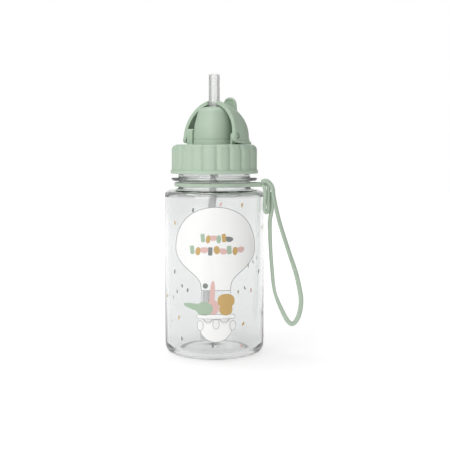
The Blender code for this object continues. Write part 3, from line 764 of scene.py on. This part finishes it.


# ---- strap ---------------------------------------------------------------------------
# Flat sage polyester cord, about 3 by 2 mm: a loop round the neck under the flange, a hitch made by
# its doubled tail, and a wrist loop that hooks over the hitch. The routes are given.
FRONT_END = (30.6, -9.9, 113.0)
BACK_END = (31.0, -6.0, 113.2)
KNOT_ROUTE = [
    (31.8, -10.3, 112.7), (32.9, -10.8, 110.8), (33.2, -10.9, 107.0), (33.0, -10.9, 101.0),
    (32.9, -10.9, 97.0), (34.2, -10.4, 94.6), (35.5, -9.8, 97.0), (35.4, -9.5, 103.0),
    (35.6, -9.2, 108.0), (35.7, -8.8, 111.4), (34.3, -7.8, 113.2), (32.6, -6.9, 113.3),
]
WRIST_ROUTE = [
    (31.2, -10.4, 115.1), (32.8, -10.9, 115.7), (34.9, -11.1, 115.3), (36.9, -10.9, 113.4),
    (38.3, -10.5, 110.4), (38.8, -10.0, 106.8), (39.5, -9.8, 103.0), (41.3, -9.8, 94.6),
    (43.5, -10.0, 86.1), (48.8, -10.5, 69.6), (54.0, -11.0, 53.8), (57.0, -11.0, 39.5),
    (56.9, -11.0, 32.0), (55.3, -11.0, 25.6), (52.2, -11.0, 21.2), (48.6, -11.0, 22.8),
    (43.7, -10.8, 32.0), (39.6, -10.5, 43.3), (37.9, -10.0, 58.4), (36.9, -9.8, 73.2),
    (36.5, -9.4, 88.3), (37.7, -8.2, 96.0), (37.7, -6.9, 102.0), (37.0, -6.2, 107.6),
]
neck_radius = 24.0 + 0.3 + 1.3      # the neck, a gap and half a cord
leave = math.atan2(FRONT_END[1], FRONT_END[0]) - math.acos(neck_radius / math.hypot(*FRONT_END[:2]))
arrive = math.atan2(BACK_END[1], BACK_END[0]) + math.acos(neck_radius / math.hypot(*BACK_END[:2]))
arrive -= 2 * math.pi
angle = np.linspace(leave, arrive, 15)
round_neck = np.stack([neck_radius * np.cos(angle), neck_radius * np.sin(angle), np.full(15, 113.0)], axis=1)
NECK_ROUTE = np.vstack([FRONT_END, round_neck, BACK_END])


def flat_cord(name, route, count, wide, thick, first_side, twist, material, node):
    """A flat cord along a route: its section is |x/a|^2.6 + |y/b|^2.6 = 1, and its ends are domed.

    twist has (share of the length, degrees) pairs, and the section turns smoothly from one to the next.
    """
    path = smooth_path(np.asarray(route, float) * MM, count)
    tangent, side, up = frames_along(path, first_side)
    lean = np.radians(np.interp(np.linspace(0, 1, count), *np.transpose(twist)))[:, None]
    side, up = side * np.cos(lean) + up * np.sin(lean), up * np.cos(lean) - side * np.sin(lean)
    around = 28
    angle = np.arange(around) * 2 * np.pi / around
    power = 2 / 2.6
    x = np.sign(np.cos(angle)) * abs(np.cos(angle)) ** power * wide / 2 * MM
    y = np.sign(np.sin(angle)) * abs(np.sin(angle)) ** power * thick / 2 * MM
    ring = side[:, None] * x[:, None] + up[:, None] * y[:, None]
    rows = path[:, None] + ring
    ends = []
    for end, way in ((0, -1), (-1, 1)):
        cap = [path[end] + ring[end] * shrink + way * tangent[end] * thick / 2 * MM * reach * 0.5
               for shrink, reach in ((0.8, 0.6), (0.45, 0.9), (0.0, 1.0))]
        ends.append(cap)
    rows = np.concatenate([ends[0][::-1], rows, ends[1]])
    along = np.arange(len(rows)) * np.linalg.norm(path[1] - path[0])
    share = np.arange(around + 1) / around
    v, u = np.meshgrid(along, share, indexing="ij")
    grid = np.stack([u, v / MM], axis=-1)
    uv = np.stack([grid[:-1, :-1], grid[1:, :-1], grid[1:, 1:], grid[:-1, 1:]], axis=2)
    made = piece(name, rows.reshape(-1, 3), quads(len(rows), around, close_columns=True), material, "strap",
                 node, uv=uv)
    return made, path


# Knitted polyester: slanted stitches 0.9 mm apart that meet in a chevron along the middle of each side, with
# painted shade: the grooves between stitches are coloured darker.
cord_weave, tree, shader = new_finish(
    "polyester_cord_sage", Roughness=0.78, Sheen_Weight=0.2, Sheen_Roughness=0.5)
where = add(tree, "ShaderNodeUVMap", uv_map="weave")
parts = add(tree, "ShaderNodeSeparateXYZ", [("Vector", where.outputs["UV"])])
turns = add(tree, "ShaderNodeMath", [(0, parts.outputs["X"]), (1, 4.0)], operation="MULTIPLY")
slant = add(tree, "ShaderNodeMath", [(0, turns.outputs["Value"]), (1, 1.0)], operation="PINGPONG")
lean = add(tree, "ShaderNodeMath", [(0, slant.outputs["Value"]), (1, 0.8)], operation="MULTIPLY")
pitch = add(tree, "ShaderNodeMath", [(0, parts.outputs["Y"]), (1, lean.outputs["Value"])], operation="ADD")
phase = add(tree, "ShaderNodeMath", [(0, pitch.outputs["Value"]), (1, math.pi / 0.9)], operation="MULTIPLY")
wave = add(tree, "ShaderNodeMath", [(0, phase.outputs["Value"])], operation="SINE")
stitch = add(tree, "ShaderNodeMath", [(0, wave.outputs["Value"])], operation="ABSOLUTE")
# Painted shade: the low, grooved part of each stitch gets the darker sage and the raised part the lighter
# one.
shade = add(tree, "ShaderNodeValToRGB", [("Fac", stitch.outputs["Value"])])
shade.color_ramp.elements[0].color = linear("#a2b5a0")
shade.color_ramp.elements[1].color = linear("#b9cab7")
shade.color_ramp.elements[1].position = 0.6
tree.links.new(shade.outputs["Color"], shader.inputs["Base Color"])
relief = add(tree, "ShaderNodeBump",
             [("Height", stitch.outputs["Value"]), ("Strength", 0.7), ("Distance", 0.0003)])
tree.links.new(relief.outputs["Normal"], shader.inputs["Normal"])

for name, route, count, wide, thick, side, lay, twist in (
        ("neck_loop", NECK_ROUTE, 150, 2.7, 1.9, (0, 0, 1), "taut", ((0, 0), (1, 0))),
        ("strap_knot", KNOT_ROUTE, 90, 2.4, 1.9, (0, 1, 0), "hanging", ((0, 90), (1, 90))),
        ("wrist_loop", WRIST_ROUTE, 240, 3.1, 1.9, (0, 1, 0), "hanging",
         ((0, 30), (0.12, 40), (0.3, 50), (0.45, 85), (0.55, 60), (0.65, 15), (0.8, 25), (1, 50)))):
    made, path = flat_cord(name + "_cord", route, count, wide, thick, side, twist, cord_weave, name)


# ---- studio --------------------------------------------------------------------------
# Plain white floor and backdrop, matt painted and glowing: the backdrop only glows, and the floor's glow,
# brighter towards the back, is painted light. A big soft light from the front left, a weaker one from above,
# and an even grey room round them.

def card(name, corners, diffuse):
    """A flat stage sheet with a matt paint of the given grey that also glows white; returns the paint's tree
    and shader.
    """
    mesh = bpy.data.meshes.new(name)
    mesh.from_pydata(corners, [], [(0, 1, 2, 3)])
    made = bpy.data.objects.new(name, mesh)
    bpy.context.scene.collection.objects.link(made)
    paint, tree, shader = new_finish(
        name + "_paint", Base_Color=(diffuse, diffuse, diffuse, 1), Roughness=0.9, Specular_IOR_Level=0.0,
        Emission_Color=(1, 1, 1, 1), Emission_Strength=1.0)
    mesh.materials.append(paint)
    return tree, shader


card("backdrop", [(-0.8, 2.4, -0.5), (0.8, 2.4, -0.5), (0.8, 2.4, 2.2), (-0.8, 2.4, 2.2)], 0.0)
tree, shader = card("floor", [(-4, -2, 0), (4, -2, 0), (4, 2.5, 0), (-4, 2.5, 0)], 0.8)
# Painted light: the floor's glow grows towards the back, where the lamps light the floor less.
where = add(tree, "ShaderNodeTexCoord")
parts = add(tree, "ShaderNodeSeparateXYZ", [("Vector", where.outputs["Object"])])
glow = add(tree, "ShaderNodeMapRange", [("Value", parts.outputs["Y"]), ("From Min", 0.05), ("From Max", 0.9),
                                        ("To Min", 0.36), ("To Max", 0.66)])
tree.links.new(glow.outputs["Result"], shader.inputs["Emission Strength"])

for name, place, size, power in (
        ("key_light", (-0.7, -1.35, 0.7), 1.2, 15.0),
        ("top_light", (-0.2, 0.2, 1.3), 1.0, 8.0)):
    data = bpy.data.lights.new(name, "AREA")
    data.shape = "SQUARE"
    data.size = size
    data.energy = power
    light = bpy.data.objects.new(name, data)
    bpy.context.scene.collection.objects.link(light)
    light.location = place
    aim = Vector((0, 0, 0.09)) - light.location
    light.rotation_euler = aim.to_track_quat("-Z", "Y").to_euler()

world = bpy.data.worlds.new("grey_room")
bpy.context.scene.world = world
world.use_nodes = True
sky = world.node_tree.nodes["Background"]
sky.inputs["Color"].default_value = (0.28, 0.28, 0.28, 1.0)
sky.inputs["Strength"].default_value = 1.0
bpy.context.scene.view_settings.view_transform = "Standard"

camera_data = bpy.data.cameras.new("camera")
camera_data.lens = 83.0
camera_data.sensor_width = 36.0
camera = bpy.data.objects.new("camera", camera_data)
bpy.context.scene.collection.objects.link(camera)
camera.location = (0.0, -0.690, 0.137)
camera.rotation_euler = (Vector((0.0071, 0.0, 0.0858)) - camera.location).to_track_quat("-Z", "Y").to_euler()
bpy.context.scene.camera = camera
